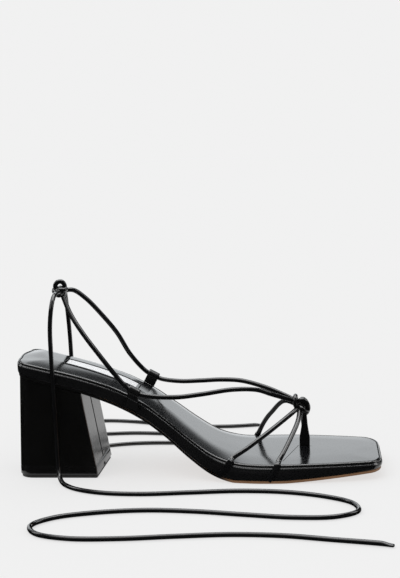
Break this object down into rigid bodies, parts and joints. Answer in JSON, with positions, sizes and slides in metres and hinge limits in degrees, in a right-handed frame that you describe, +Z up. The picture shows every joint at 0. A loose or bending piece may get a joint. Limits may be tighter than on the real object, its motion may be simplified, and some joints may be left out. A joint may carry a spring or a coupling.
{
  "type": "lace up heeled sandal",
  "caption": "Black lace up sandal on a covered block heel, with a square open toe, a toe post, thin round straps tied over the toes and long ties that lie down from the ankle knot.",
  "frame": {"origin": "on the floor, at the middle of the heel's wearing face", "axes": "+X towards the toe, +Y towards the inner side of the foot, +Z up"},
  "size_m": [0.2407, 0.2888, 0.1296],
  "materials": {
    "black_leather": "satin",
    "black_strap": "glossy",
    "black_sock": "glossy",
    "tan_sole": "satin",
    "brown_rubber": "matte"
  },
  "bodies": {
    "root": {"outsole": "tan_sole", "midsole": "black_leather", "insole": "black_sock", "heel_block": "black_leather", "heel_cap": "black_leather", "top_piece": "brown_rubber", "upper": "black_strap", "loop_lateral": "black_leather", "loop_medial": "black_leather", "tie_lateral": "black_strap", "tie_medial": "black_strap"}
  },
  "joints": []
}
